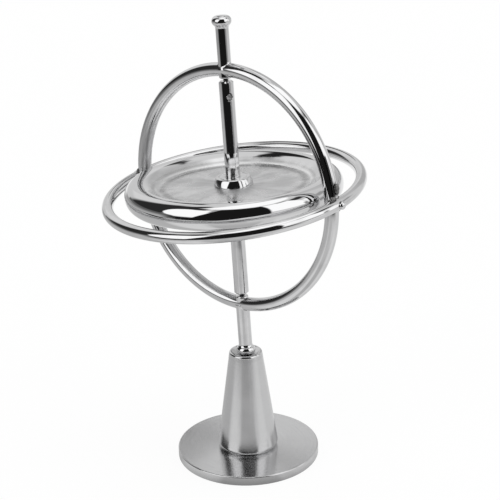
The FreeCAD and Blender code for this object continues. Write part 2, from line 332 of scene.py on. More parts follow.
def in_scene(name: str, data: ID) -> Object:
    """Make an object in the scene.

    Args:
        name: its name.
        data: its mesh or camera.

    Returns:
        The object.
    """
    made = bpy.data.objects.new(name, data)
    bpy.context.scene.collection.objects.link(made)
    return made


def shaped(carrier: Object, modifier: Modifier) -> Mesh:
    """Return the plain mesh that a modifier makes.

    Args:
        carrier: the object with the modifier; it is used up.
        modifier: the modifier.

    Returns:
        The mesh.
    """
    graph = bpy.context.evaluated_depsgraph_get()
    mesh = bpy.data.meshes.new_from_object(carrier.evaluated_get(graph))
    carrier.modifiers.remove(modifier)
    bpy.data.objects.remove(carrier)
    return mesh


def cleaned(mesh: Mesh) -> Mesh:
    """Merge doubles and turn all faces outwards.

    Args:
        mesh: what is cleaned.

    Returns:
        The same mesh.
    """
    work = bmesh.new()
    work.from_mesh(mesh)
    bmesh.ops.remove_doubles(work, verts=work.verts, dist=SAME)
    bmesh.ops.recalc_face_normals(work, faces=work.faces)
    return stored(work, mesh)


def turned_over(mesh: Mesh) -> Mesh:
    """Turn a mesh upside down, by half a turn about X."""
    mesh.transform(turned(180, "X"))
    return mesh


def joined(meshes: Sequence[Mesh]) -> Mesh:
    """Put several meshes into one.

    Args:
        meshes: what is joined; they are used up.

    Returns:
        The joined mesh.
    """
    work = bmesh.new()
    for mesh in meshes:
        work.from_mesh(mesh)
        bpy.data.meshes.remove(mesh)
    return stored(work)


def pierced(body: Mesh, tool: Mesh) -> Mesh:
    """Take one closed mesh out of another.

    Args:
        body: what is cut; it is used up.
        tool: what is taken out; it is used up.

    Returns:
        The cut mesh.
    """
    target, cutter = in_scene("body", body), in_scene("tool", tool)
    cut = target.modifiers.new("cut", "BOOLEAN")
    cut.operation = "DIFFERENCE"
    cut.solver = "EXACT"
    cut.object = cutter
    result = shaped(target, cut)
    bpy.data.objects.remove(cutter)
    return result


class Profile:
    """Outline of a turned piece: (radius, height) points in millimetres."""

    SUPPORT = 0.03

    def __init__(self, radius: float, height: float) -> None:
        """Start the outline at a point."""
        self.points: list[Point] = [(radius, height)]

    def _add(self, point: Point) -> None:
        """Add a point that isn't on top of the last one."""
        if math.dist(self.points[-1], point) > SAME:
            self.points.append(point)

    def line(self, radius: float, height: float) -> "Profile":
        """Draw a straight run, with a close point at each end to keep its shading flat.

        Args:
            radius: radius of the end.
            height: height of the end.

        Returns:
            This outline.
        """
        start = self.points[-1]
        end = (radius, height)
        length = math.dist(start, end)
        if length > 6 * self.SUPPORT:
            for share in (self.SUPPORT / length, 1 - self.SUPPORT / length):
                self._add(tuple(a + (b - a) * share for a, b in zip(start, end)))
        self._add(end)
        return self

    def arc(
        self, centre: Point, across: float, start: float, end: float,
        steps: int, up: Optional[float] = None,
    ) -> "Profile":
        """Draw an arc of a circle or an ellipse.

        Args:
            centre: its centre.
            across: its radius, or the ellipse's reach across.
            start: angle of its start, in degrees.
            end: angle of its end, in degrees.
            steps: how many runs it is drawn in.
            up: the ellipse's reach upwards, where it is one.

        Returns:
            This outline.
        """
        rise = across if up is None else up
        for step in range(steps + 1):
            angle = math.radians(start + (end - start) * step / steps)
            self._add((centre[0] + across * math.cos(angle), centre[1] + rise * math.sin(angle)))
        return self

    def mesh(self, steps: int, closed: bool = False) -> Mesh:
        """Turn the outline about the axis.

        Args:
            steps: how many sides the turned piece has.
            closed: whether the outline's end joins its start, as on a pierced piece.

        Returns:
            The mesh, in millimetres.
        """
        points: list[Triple] = []
        rings: list[list[int]] = []
        for radius, height in self.points:
            count = 1 if radius < SAME else steps
            rings.append(list(range(len(points), len(points) + count)))
            for step in range(count):
                angle = 2 * math.pi * step / steps
                points.append((radius * math.cos(angle), radius * math.sin(angle), height))
        faces: list[tuple[int, ...]] = []
        for low, high in zip(rings, rings[1:] + rings[:1] if closed else rings[1:]):
            for step in range(steps):
                after = (step + 1) % steps
                corners = [low[step % len(low)], low[after % len(low)],
                           high[after % len(high)], high[step % len(high)]]
                face = tuple(dict.fromkeys(corners))
                if len(face) > 2:
                    faces.append(face)
        return new_mesh(points, faces)


@dataclass
class Maker:
    """Puts finished pieces in the scene and on their bodies."""

    sharp_angle: float = 35.0
    made: list[str] = field(default_factory=list)

    def add(
        self, name: str, mesh: Mesh, place: Matrix, material: Material, body: Body, slot: str,
        *nodes: str,
    ) -> None:
        """Place a mesh, dress it and let it stand for its CAD nodes.

        Args:
            name: name of the piece.
            mesh: its mesh, in millimetres about its own origin.
            place: where it goes.
            material: its finish.
            body: the body that it rides on.
            slot: the record's material slot; not used.
            nodes: the CAD nodes that it stands for.
        """
        cleaned(mesh)
        mesh.name = name + ".mesh"
        mesh.transform(place)
        mesh.shade_smooth()
        mesh.set_sharp_from_angle(angle=math.radians(self.sharp_angle))
        mesh.materials.clear()
        mesh.materials.append(material)
        piece = in_scene(name, mesh)
        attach(piece, body.value)
        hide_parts(*nodes)
        self.made.append(name)
        log.info("%s: %d faces on %s", name, len(mesh.polygons), body.value)


class GeometryTree(Graph):
    """A geometry node tree with named inputs, used once and turned into a plain mesh."""

    def __init__(self, name: str, inputs: dict[str, str]) -> None:
        """Make an empty tree.

        Args:
            name: name of the tree.
            inputs: socket type of each named input.
        """
        super().__init__(bpy.data.node_groups.new(name, "GeometryNodeTree"))
        face = self.tree.interface
        face.new_socket(name="Geometry", in_out="OUTPUT", socket_type="NodeSocketGeometry")
        self.names = {
            title: face.new_socket(name=title, in_out="INPUT", socket_type=kind).identifier
            for title, kind in inputs.items()
        }
        self.start = self.node("NodeGroupInput")

    def given(self, title: str) -> NodeSocket:
        """Return the socket of a named input."""
        return self.start.outputs[title]

    def finish(self, geometry: NodeSocket) -> None:
        """End the tree: realize instances, set the material and give the result out.

        Args:
            geometry: what the tree made.
        """
        real = self.node("GeometryNodeRealizeInstances", None, {0: geometry})
        sockets = {0: real.outputs[0], "Material": self.given("Material")}
        dressed = self.node("GeometryNodeSetMaterial", None, sockets)
        self.node("NodeGroupOutput", None, {0: dressed.outputs[0]})

    def mesh(self, values: dict[str, object]) -> Mesh:
        """Run the tree once.

        Args:
            values: value of each named input.

        Returns:
            The plain mesh.
        """
        carrier = in_scene("carrier", bpy.data.meshes.new("carrier"))
        modifier = carrier.modifiers.new("shape", "NODES")
        modifier.node_group = self.tree
        for title, value in values.items():
            modifier[self.names[title]] = value
        return shaped(carrier, modifier)


# --- Finishes ---

# Colour of bright plating, and the depth of fine marks and orange peel, in metres.
PLATING: Triple = (0.71, 0.71, 0.715)
FINE_DEPTH = 0.00002
# Ramps of a noise: its middle part, where plating tarnishes, and by how much a cloud changes
# the haze of plating and the roughness of other finishes.
MIDDLE: Point = (0.35, 0.65)
TARNISHED: Point = (0.4, 0.8)
HAZY: Ramp = (0.35, 0.75, 0.6, 1.7)
UNEVEN: Ramp = (0.3, 0.7, 0.85, 1.15)


class Skin(Graph):
    """Graph of a material, with the place on the piece in the piece's own upright frame.

    The place is in millimetres.
    """

    def __init__(self, tree: NodeTree, frame_place: Matrix) -> None:
        """Start on an empty tree.

        Args:
            tree: the material's tree.
            frame_place: the move from the pieces' own frame to the world.
        """
        super().__init__(tree)
        inverse = frame_place.inverted()
        sockets = {
            "Vector": self.node("ShaderNodeTexCoord").outputs["Object"],
            "Location": inverse.to_translation(),
            "Rotation": inverse.to_euler(),
            "Scale": inverse.to_scale(),
        }
        self.place = self.node("ShaderNodeMapping", {"vector_type": "POINT"}, sockets).outputs[0]

    @cached_property
    def parts(self) -> tuple[Value, Value, Value]:
        """The three parts of the place."""
        return self.split(self.place)

    @cached_property
    def radius(self) -> Value:
        """Distance from the upright axis."""
        return self.parts[0].reach(self.parts[1])

    @cached_property
    def turn(self) -> Value:
        """Angle about the upright axis, in radians."""
        return self.parts[1].angle(self.parts[0])

    @property
    def height(self) -> Value:
        """Height along the upright axis."""
        return self.parts[2]

    def noise(self, grain: Grain, place: Optional[NodeSocket] = None) -> Value:
        """Return a noise around 0.5.

        Args:
            grain: its look.
            place: where it is read, if not at the place on the piece.

        Returns:
            The noise.
        """
        sockets = {"Vector": place or self.place, "Scale": grain.scale, "Detail": grain.detail,
                   "Roughness": grain.rough}
        return Value(self, self.node("ShaderNodeTexNoise", None, sockets).outputs["Fac"])

    def circles(self, grain: Grain, spread: Point) -> Value:
        """Return a noise that runs in circles about the upright axis.

        Args:
            grain: its look.
            spread: how fast it changes across the circles, and along them.

        Returns:
            The noise.
        """
        across, along = spread
        place = self.join(self.radius * across, self.height * across, self.turn * along)
        return self.noise(grain, place)

    def mix_colour(self, share: Feed, first: Feed, second: Feed) -> NodeSocket:
        """Return the colour between two colours.

        Args:
            share: how much of the second there is, from 0 to 1.
            first: a colour's link or its red, green and blue.
            second: the other one.

        Returns:
            The colour.
        """
        sockets = {0: share}
        for place, colour in ((6, first), (7, second)):
            sockets[place] = (*colour, 1.0) if isinstance(colour, tuple) else colour
        return self.node("ShaderNodeMix", {"data_type": "RGBA"}, sockets).outputs[2]

    def bump(self, height: Value, strength: float, distance: float) -> NodeSocket:
        """Return the normal of a surface raised by height.

        Args:
            height: the height, from 0 to 1.
            strength: how much of the bump is used.
            distance: the depth that a height of 1 stands for, in metres.

        Returns:
            The normal.
        """
        sockets = {"Height": height, "Strength": strength, "Distance": distance}
        return self.node("ShaderNodeBump", None, sockets).outputs[0]


def shade(colour: Triple, share: float) -> Triple:
    """Return a share of a colour."""
    return tuple(part * share for part in colour)


def plated(
    skin: Skin, cloud: Value, colour: Triple, tarnish: float, haze: float
) -> tuple[NodeSocket, Value]:
    """Make bright plating that is duller in clouds.

    Args:
        skin: the material's graph.
        cloud: where it is duller, as a noise around 0.5.
        colour: its bright colour.
        tarnish: the share of the colour that is lost in the clouds.
        haze: its roughness, which the clouds change too.

    Returns:
        The colour and the roughness.
    """
    shell = skin.mix_colour(cloud.ramp(*TARNISHED), colour, shade(colour, 1 - tarnish))
    return shell, cloud.ramp(*HAZY) * haze


@dataclass(frozen=True)
class Finish:
    """Metal finish; each kind of finish says what feeds the shader."""

    name: str

    def surface(self, skin: Skin) -> dict[str, Feed]:
        """Return what feeds the shader's sockets.

        Args:
            skin: the material's graph.

        Returns:
            Value or link of each socket.
        """
        raise NotImplementedError

    def material(self, place: Matrix) -> Material:
        """Build the material for pieces in one frame.

        Args:
            place: the frame of the pieces.

        Returns:
            The material.
        """
        material = bpy.data.materials.new(self.name)
        material.use_nodes = True
        skin = Skin(material.node_tree, place)
        feeds = {"Metallic": 1.0, **self.surface(skin)}
        shader = skin.node("ShaderNodeBsdfPrincipled", None, feeds)
        skin.node("ShaderNodeOutputMaterial", None, {"Surface": shader.outputs[0]})
        return material


@dataclass(frozen=True)
class Streak:
    """Streak on a ring's wire beside a brazed joint; by default a near-black painted reflection.

    Angles are in degrees. Those along the ring start at the joint, and those around the wire
    start at the ring's outside.
    """

    plane_azimuth: float
    ring_radius: float
    along: Point
    around: Point
    edge: float = 1.5
    # Near black: a painted dark reflection on the mirror wire.
    colour: Triple = (0.05, 0.05, 0.05)
    haze: float = 0.15
    wobble: float = 4.0
    wobble_grain: Grain = Grain(0.9)

    def share(self, skin: Skin) -> Value:
        """Return how strongly the mark covers a place.

        Args:
            skin: the material's graph, in the rings' frame.

        Returns:
            The share, from 0 to 1.
        """
        x, y, z = skin.parts
        cosine, sine, _ = direction(self.plane_azimuth)
        out = x * cosine + y * sine
        across = y * cosine - x * sine
        depth = out.reach(z) - self.ring_radius
        wobble = (skin.noise(self.wobble_grain) - 0.5) * self.wobble
        share = skin.constant(1.0)
        for angle, (low, high) in ((z.angle(out), self.along), (across.angle(depth), self.around)):
            beside = abs(angle.degrees() + wobble - (low + high) / 2) - (high - low) / 2
            share = share * beside.ramp(self.edge, -self.edge)
        return share


@dataclass(frozen=True)
class Polish(Finish):
    """Bright plating: a grey mirror with a little haze, orange peel and duller clouds."""

    colour: Triple = PLATING
    haze: float = 0.045
    tarnish: float = 0.12
    peel: float = 0.35
    cloud_grain: Grain = Grain(0.22, 4.0, 0.6)
    fine_grain: Grain = Grain(5.0, 2.0)
    peel_grain: Grain = Grain(0.35, 2.0, 0.4)
    stains: tuple[Streak, ...] = ()

    def surface(self, skin: Skin) -> dict[str, Feed]:
        """Return what feeds the shader's sockets.

        Args:
            skin: the material's graph.

        Returns:
            Value or link of each socket.
        """
        cloud = skin.noise(self.cloud_grain)
        colour, rough = plated(skin, cloud, self.colour, self.tarnish, self.haze)
        rough = rough + skin.noise(self.fine_grain) * (self.haze * 0.3)
        # Streaks painted on: dark ones are painted reflections, and hazy ones add roughness.
        for streak in self.stains:
            share = streak.share(skin)
            colour = skin.mix_colour(share, colour, streak.colour)
            rough = rough + share * streak.haze
        normal = skin.bump(skin.noise(self.peel_grain), self.peel, FINE_DEPTH)
        return {"Base Color": colour, "Roughness": rough, "Normal": normal}


@dataclass(frozen=True)
class Bored(Finish):
    """Plated shaft whose cross hole is dull inside, and dark there as painted shade. Sizes are in
    millimetres.
    """

    shaft_radius: float
    hole_height: float
    hole_reach: float
    colour: Triple = PLATING
    # Colour of the painted shade inside the hole.
    dark: Triple = (0.30, 0.30, 0.30)
    haze: float = 0.06
    tarnish: float = 0.1
    dark_haze: float = 0.25
    shade_depth: Point = (0.02, 0.12)
    peel: float = 0.3
    cloud_grain: Grain = Grain(0.3, 4.0, 0.6)

    def surface(self, skin: Skin) -> dict[str, Feed]:
        """Return what feeds the shader's sockets.

        Args:
            skin: the material's graph.

        Returns:
            Value or link of each socket.
        """
        # Painted shade: the colour darkens inside the cross hole, near its height.
        depth = self.shaft_radius - skin.radius
        near = abs(skin.height - self.hole_height).ramp(self.hole_reach, self.hole_reach * 0.9)
        inside = depth.ramp(*self.shade_depth) * near
        cloud = skin.noise(self.cloud_grain)
        shell, rough = plated(skin, cloud, self.colour, self.tarnish, self.haze)
        return {
            "Base Color": skin.mix_colour(inside, shell, self.dark),
            "Roughness": rough + inside * self.dark_haze,
            "Normal": skin.bump(cloud, self.peel, FINE_DEPTH),
        }


@dataclass(frozen=True)
class Flywheel(Finish):
    """Plating that is a mirror on the rim and hazy and wavy in the recess.

    The cove of the recess is darkened in patches as painted shade. Painted lines run around above
    the cove: a light one is a painted highlight at the web's edge and a dark one is painted shade
    on the slope; each line is a radius in millimetres and a tone.
    """

    colour: Triple = PLATING
    web_colour: Triple = (0.79, 0.79, 0.795)
    web_dull: float = 0.76
    web_clouds: Point = (0.38, 0.62)
    rim_haze: float = 0.035
    web_haze: float = 0.26
    mirror_radius: float = 21.6
    haze_radius: float = 19.6
    hub_span: Point = (10.4, 5.6)
    hub_haze: float = 0.12
    # Painted shade in the cove: its radius, reach, wander, share of colour and patches.
    cove_radius: float = 17.4
    cove_reach: float = 1.5
    cove_wander: float = 2.0
    cove_shade: float = 0.5
    cove_patches: Ramp = (0.3, 0.6, 0.35, 1.0)
    # Painted lines as radius and tone: a painted highlight, then a painted shade line.
    marks: tuple[Point, ...] = ((19.0, 0.95), (19.8, 0.5))
    mark_reach: float = 0.5
    mark_patches: Ramp = (0.35, 0.6, 0.2, 0.8)
    wave: float = 1.6
    wave_depth: float = 0.00012
    wave_spread: Point = (4.0, 0.12)
    ring_spread: Point = (6.0, 0.3)
    ring_haze: float = 0.02
    peel: float = 0.06
    wave_grain: Grain = Grain(1.0, 2.0)
    cloud_grain: Grain = Grain(0.12)
    ring_grain: Grain = Grain(1.0, 3.0, 0.6)
    peel_grain: Grain = Grain(0.3)

    def surface(self, skin: Skin) -> dict[str, Feed]:
        """Return what feeds the shader's sockets.

        Args:
            skin: the material's graph.

        Returns:
            Value or link of each socket.
        """
        radius, turn = skin.radius, skin.turn
        inside = radius.ramp(self.mirror_radius, self.haze_radius)
        wide, outwards = self.wave_spread
        loop = (turn.sine() * wide, (turn + math.pi / 2).sine() * wide, radius * outwards)
        wave = skin.noise(self.wave_grain, skin.join(*loop))
        cloud = skin.noise(self.cloud_grain)
        rings = skin.circles(self.ring_grain, self.ring_spread)
        haze = inside * (self.web_haze - self.rim_haze) + self.rim_haze
        haze = haze + radius.ramp(*self.hub_span) * self.hub_haze
        rough = haze * cloud.ramp(*UNEVEN) + rings * inside * self.ring_haze
        share = (wave * 0.5 + cloud * 0.5).ramp(*self.web_clouds)
        web = skin.mix_colour(share, self.web_colour, shade(self.web_colour, self.web_dull))
        # Painted shade: the colour darkens in patches along the cove.
        off = abs(radius - self.cove_radius + (cloud - 0.5) * self.cove_wander)
        cove_painted_shade = off.ramp(self.cove_reach, 0.0) * wave.ramp(*self.cove_patches)
        web = skin.mix_colour(cove_painted_shade, web, shade(self.web_colour, self.cove_shade))
        # Painted lines above the cove: a painted highlight at the web's edge, then a painted shade
        # line.
        for place, tone in self.marks:
            mark = abs(radius - place).ramp(self.mark_reach, 0.0) * wave.ramp(*self.mark_patches)
            web = skin.mix_colour(mark, web, (tone, tone, tone))
        height = (wave * 0.8 + cloud * 0.4) * inside * self.wave
        height = height + skin.noise(self.peel_grain) * self.peel
        return {
            "Base Color": skin.mix_colour(inside, self.colour, web),
            "Roughness": rough,
            "Normal": skin.bump(height, 1.0, self.wave_depth),
        }


@dataclass(frozen=True)
class Turned(Finish):
    """Brushed steel, marked in circles about the upright axis.

    The finish stretches reflections across its grooves. Below the shade height its colour darkens
    towards the table as painted shade, and from the bright height upwards it is polished.
    """

    rough: float
    groove: float
    colour: Triple = (0.69, 0.69, 0.695)
    # Colour of the painted shade towards the table.
    painted_shade_colour: Triple = (0.2, 0.2, 0.2)
    rough_swing: float = 0.12
    stretch: float = 0.0
    stretch_turn: float = 0.25
    contrast: float = 0.16
    painted_shade_below: float = 0.0
    painted_shade_shares: Point = (0.12, 0.5)
    bright_above: Optional[float] = None
    bright_edge: float = 0.1
    bright_share: float = 0.12
    mark_spread: Point = (9.0, 0.6)
    mark_grain: Grain = Grain(1.0, 4.0, 0.65)
    broad_grain: Grain = Grain(0.16)
    fine_grain: Grain = Grain(6.0, 3.0, 0.7)

    def surface(self, skin: Skin) -> dict[str, Feed]:
        """Return what feeds the shader's sockets.

        Args:
            skin: the material's graph.

        Returns:
            Value or link of each socket.
        """
        marks = skin.circles(self.mark_grain, self.mark_spread)
        broad = skin.noise(self.broad_grain)
        fine = skin.noise(self.fine_grain)
        rough = broad.ramp(*UNEVEN) * self.rough + (marks - 0.5) * self.rough_swing
        if self.bright_above is not None:
            edge = (self.bright_above - self.bright_edge, self.bright_above + self.bright_edge)
            rough = rough * skin.height.ramp(*edge, 1.0, self.bright_share)
        share = (marks * 0.5 + fine * 0.3 + broad * 0.2).ramp(*MIDDLE)
        colour = skin.mix_colour(share, shade(self.colour, 1 - self.contrast), self.colour)
        # Painted shade: the colour darkens towards the table below this height, with a little
        # noise.
        if self.painted_shade_below > 0:
            painted_shade = skin.height.ramp(self.painted_shade_below, 0.0, *self.painted_shade_shares) + (fine - 0.5) * 0.5
            painted_shade = painted_shade * skin.height.ramp(self.painted_shade_below, self.painted_shade_below * 0.97)
            colour = skin.mix_colour(painted_shade, colour, self.painted_shade_colour)
        return {
            "Base Color": colour,
            "Roughness": rough,
            "Normal": skin.bump(marks, self.groove, FINE_DEPTH),
            "Anisotropic": self.stretch,
            "Anisotropic Rotation": self.stretch_turn,
        }


@dataclass(frozen=True)
class Braze(Finish):
    """Dull, lumpy solder left between two wires."""

    colour: Triple = (0.13, 0.13, 0.128)
    pale: float = 1.7
    rough: Point = (0.5, 0.22)
    lump: float = 0.6
    lump_depth: float = 0.0002
    lump_grain: Grain = Grain(1.3, 4.0, 0.6)

    def surface(self, skin: Skin) -> dict[str, Feed]:
        """Return what feeds the shader's sockets.

        Args:
            skin: the material's graph.

        Returns:
            Value or link of each socket.
        """
        lumps = skin.noise(self.lump_grain)
        pale = shade(self.colour, self.pale)
        return {
            "Base Color": skin.mix_colour(lumps.ramp(*MIDDLE), self.colour, pale),
            "Roughness": lumps.ramp(0.3, 0.7, *self.rough),
            "Normal": skin.bump(lumps, self.lump, self.lump_depth),
        }


# --- Stand ---


@dataclass
class Stand:
    """Round base, conical pedestal and the seat cup that turns in its top.

    Sizes are in millimetres.
    """

    base_radius: float = 18.0
    base_thickness: float = 2.4
    base_edge: float = 0.3
    pedestal_height: float = 26.3
    bottom_radius: float = 7.6
    bottom_round: float = 1.3
    bottom_inset: float = 0.7
    bottom_turn: float = 50.0
    top_radius: float = 4.125
    lip_round: float = 0.6
    lip_bright: float = 0.65
    cup_flange: float = 1.6
    cup_spigot_radius: float = 2.5
    cup_spigot_length: float = 3.0
    dish_depth: float = 1.2595
    sides: int = 256
    cup_sides: int = 192

    @property
    def lip_height(self) -> float:
        """Height of the lip above the table."""
        return self.base_thickness + self.pedestal_height

    def side_radius(self, height: float) -> float:
        """Find the radius of the pedestal's straight side.

        Args:
            height: height above the table.

        Returns:
            The radius there.
        """
        low = self.base_thickness + self.bottom_round
        share = (height - low) / (self.lip_height - low)
        return self.bottom_radius + (self.top_radius - self.bottom_radius) * share

    def base_mesh(self) -> Mesh:
        """Build the base: a disc with rounded edges.

        Returns:
            The mesh of the base.
        """
        radius, edge, top = self.base_radius, self.base_edge, self.base_thickness
        inset = radius - edge
        outline = Profile(0, 0).line(inset, 0)
        outline.arc((inset, edge), edge, -90, 0, 8)
        outline.line(radius, top - edge)
        outline.arc((inset, top - edge), edge, 0, 90, 8)
        return outline.line(0, top).mesh(self.sides)

    def pedestal_mesh(self) -> Mesh:
        """Build the pedestal: a straight cone with a rounded lower edge.

        Returns:
            The mesh of the pedestal.
        """
        low = self.base_thickness
        high = self.lip_height - self.cup_flange
        turn = math.radians(self.bottom_turn)
        across = self.bottom_inset / (1 - math.cos(turn))
        up = self.bottom_round / math.sin(turn)
        outline = Profile(0, low).line(self.bottom_radius - self.bottom_inset, low)
        middle = (self.bottom_radius - across, low + self.bottom_round)
        outline.arc(middle, across, -self.bottom_turn, 0, 10, up)
        return outline.line(self.side_radius(high), high).line(0, high).mesh(self.sides)

    def seat_mesh(self) -> Mesh:
        """Build the seat cup: spigot, flange, rounded lip and dish.

        Returns:
            The mesh of the seat cup.
        """
        flange = self.lip_height - self.cup_flange
        bottom = flange - self.cup_spigot_length
        edge = self.lip_height - self.lip_round
        lip = self.side_radius(edge)
        mouth = lip - self.lip_round
        depth = self.dish_depth
        dish = (mouth ** 2 + depth ** 2) / (2 * depth)
        half = math.degrees(math.asin(mouth / dish))
        outline = Profile(0, bottom).line(self.cup_spigot_radius, bottom)
        outline.line(self.cup_spigot_radius, flange).line(self.side_radius(flange), flange)
        outline.line(lip, edge).arc((mouth, edge), self.lip_round, 0, 90, 14)
        outline.arc((0, self.lip_height - depth + dish), dish, -90 + half, -90, 24)
        return outline.mesh(self.cup_sides)

    def build(self, maker: Maker) -> None:
        """Make and dress the stand's pieces.

        Args:
            maker: puts them in the scene.
        """
        # Height below which the base's side darkens towards the table as painted shade.
        dull = self.base_thickness - self.base_edge / 2
        bright = self.lip_height - self.lip_bright
        base = Turned("brushed_base", rough=0.17, groove=0.35, stretch=0.8, painted_shade_below=dull)
        cone = Turned("brushed_cone", rough=0.22, groove=0.06, stretch=0.6, contrast=0.09)
        seat = Turned("polished_seat", rough=0.25, groove=0.1, bright_above=bright)
        for name, mesh, finish, body, node in (
            ("stand_base", self.base_mesh(), base, Body.STAND, "base_disc"),
            ("stand_pedestal", self.pedestal_mesh(), cone, Body.STAND, "pedestal_cone"),
            ("seat_cup_polished", self.seat_mesh(), seat, Body.SEAT, "seat_cup"),
        ):
            maker.add(name, mesh, STAND, finish.material(STAND), body, finish.name, node)


# --- Cage ---


@dataclass(frozen=True)
class BallEnd:
    """Flattened ball with a neck that runs out on its post."""

    post_radius: float
    dome_centre: float
    radius: float = 2.4
    rim: float = 1.28
    fillet: float = 1.1
    sides: int = 128

    def neck(self) -> Point:
        """Return the height where the neck runs out, and the fillet's reach outwards."""
        span = self.post_radius + self.fillet - (self.radius - self.rim)
        return math.sqrt((self.rim + self.fillet) ** 2 - span ** 2), span

    def mesh(self) -> Mesh:
        """Build the ball, widest at height 0, dome downwards.

        Returns:
            The mesh of the ball.
        """
        ring = self.radius - self.rim
        dome = math.hypot(ring, self.dome_centre) + self.rim
        dome_end = -90 + math.degrees(math.atan2(ring, self.dome_centre))
        height, span = self.neck()
        touch = math.degrees(math.atan2(height, span))
        outline = Profile(0, self.dome_centre - dome)
        outline.arc((0, self.dome_centre), dome, -90, dome_end, 16)
        outline.arc((ring, 0), self.rim, dome_end, touch, 40)
        outline.arc((self.post_radius + self.fillet, height), self.fillet, 180 + touch, 180, 14)
        return outline.line(0, height).mesh(self.sides)


@dataclass
class Cage:
    """Two lapped rings with their posts, ball ends, bearings and joints.

    Sizes are in millimetres about the rings' centre, and angles in degrees.
    """

    upright_radius: float = 29.5
    upright_wire: float = 1.7
    level_radius: float = 31.07
    level_wire: float = 1.43
    level_tilt: float = 5.4
    plane_azimuth: float = -39.9
    ring_steps: int = 360
    wire_steps: int = 64
    lower_post_radius: float = 1.7
    upper_post_radius: float = 1.6
    lower_post_length: float = 10.7
    upper_post_length: float = 9.9
    pivot_above_foot: float = 2.0
    knob_dome_centre: float = 6.0
    bearing_radius: float = 1.6
    bearing_face: float = 27.4
    bearing_round: float = 0.45
    socket_radius: float = 0.85
    socket_depth: float = 0.95
    post_sides: int = 96
    pin_radius: float = 0.75
    pin_head_radius: float = 1.0
    pin_head_height: float = 0.8
    pin_dome: float = 0.7
    pin_seat: float = 0.35
    pin_bite: float = 1.4
    pin_sides: int = 48
    fillet: float = 0.3
    fillet_runs: int = 8
    fillet_root: Point = (0.1, 0.2)
    saddle_reach: float = 0.995
    bead_size: Triple = (1.0, 2.35, 2.35)
    bead_seeds: tuple[float, float] = (0.0, 3.0)
    bead_swell: float = 0.16
    bead_lumps: float = 1.7
    run_place: Point = (31.2, 3.7)
    run_size: Triple = (0.45, 0.8, 1.3)
    run_seed: float = 7.0

    @property
    def upright_outside(self) -> float:
        """Outer radius of the upright ring."""
        return self.upright_radius + self.upright_wire

    @property
    def joint(self) -> Vector:
        """Direction of the line through the two joints."""
        return direction(self.plane_azimuth)

    @property
    def plane_turn(self) -> Matrix:
        """Turn from the XZ plane to the upright ring's plane."""
        return turned(self.plane_azimuth, "Z")

    def ring_tree(self) -> GeometryTree:
        """Build the tree that sweeps a round wire around a circle.

        Returns:
            The tree of nodes.
        """
        tree = GeometryTree("WireRing", {
            "Ring Radius": "NodeSocketFloat", "Wire Radius": "NodeSocketFloat",
            "Ring Steps": "NodeSocketInt", "Wire Steps": "NodeSocketInt",
            "Material": "NodeSocketMaterial",
        })
        ring, wire = (
            tree.node("GeometryNodeCurvePrimitiveCircle", {"mode": "RADIUS"}, {
                "Radius": tree.given(title + " Radius"), "Resolution": tree.given(title + " Steps"),
            }).outputs[0] for title in ("Ring", "Wire")
        )
        sockets = {"Curve": ring, "Profile Curve": wire}
        tree.finish(tree.node("GeometryNodeCurveToMesh", None, sockets).outputs[0])
        return tree

    def pin_mesh(self) -> Mesh:
        """Build one pin upright, with its domed head on top.

        Returns:
            The mesh of the pin.
        """
        outside = self.level_radius + self.level_wire
        low = self.upright_outside - self.pin_bite
        seat = outside - self.pin_seat
        edge = outside + self.pin_head_height - self.pin_dome
        outline = Profile(0, low).line(self.pin_radius, low).line(self.pin_radius, seat)
        outline.line(self.pin_head_radius, seat).line(self.pin_head_radius, edge)
        outline.arc((0, edge), self.pin_head_radius, 0, 90, 12, self.pin_dome)
        return outline.mesh(self.pin_sides)

    def pin_pair(self, finish: Material) -> Mesh:
        """Set two pins on the line of the joints, one on each side.

        Args:
            finish: their material.

        Returns:
            The mesh of both.
        """
        source = in_scene("pin_source", cleaned(self.pin_mesh()))
        tree = GeometryTree("PinPair", {
            "Pin": "NodeSocketObject", "Azimuth": "NodeSocketFloat",
            "Material": "NodeSocketMaterial",
        })
        points = tree.node("GeometryNodePoints", None, {"Count": 2})
        index = Value(tree, tree.node("GeometryNodeInputIndex").outputs[0])
        azimuth = Value(tree, tree.given("Azimuth")) + index * math.pi
        pin = tree.node("GeometryNodeObjectInfo", None, {"Object": tree.given("Pin")})
        spread = tree.node("GeometryNodeInstanceOnPoints", None, {
            "Points": points.outputs[0], "Instance": pin.outputs["Geometry"],
            "Rotation": tree.join(0.0, math.pi / 2, azimuth),
        })
        tree.finish(spread.outputs[0])
        side = math.radians(self.plane_azimuth)
        mesh = tree.mesh({"Pin": source, "Azimuth": side, "Material": finish})
        bpy.data.objects.remove(source)
        return mesh

    def post_mesh(self, radius: float, length: float, ball: BallEnd) -> Mesh:
        """Build a post that stands up from inside the upright ring's wire to a ball's neck.

        Args:
            radius: its radius.
            length: from the outside of the ring to the ball's widest place.
            ball: the ball on its end.

        Returns:
            The mesh.
        """
        low = self.upright_radius
        high = self.upright_outside + length - ball.neck()[0]
        outline = Profile(0, low).line(radius, low).line(radius, high).line(0, high)
        return outline.mesh(self.post_sides)

    def bearing_mesh(self) -> Mesh:
        """Build the upper bearing: a round-edged stub with a conical socket below.

        Returns:
            The mesh of the bearing.
        """
        face, edge = self.bearing_face, self.bearing_round
        inset = self.bearing_radius - edge
        outline = Profile(0, face + self.socket_depth).line(self.socket_radius, face)
        outline.line(inset, face).arc((inset, face + edge), edge, -90, 0, 10)
        outline.line(self.bearing_radius, self.upright_radius).line(0, self.upright_radius)
        return outline.mesh(self.post_sides)

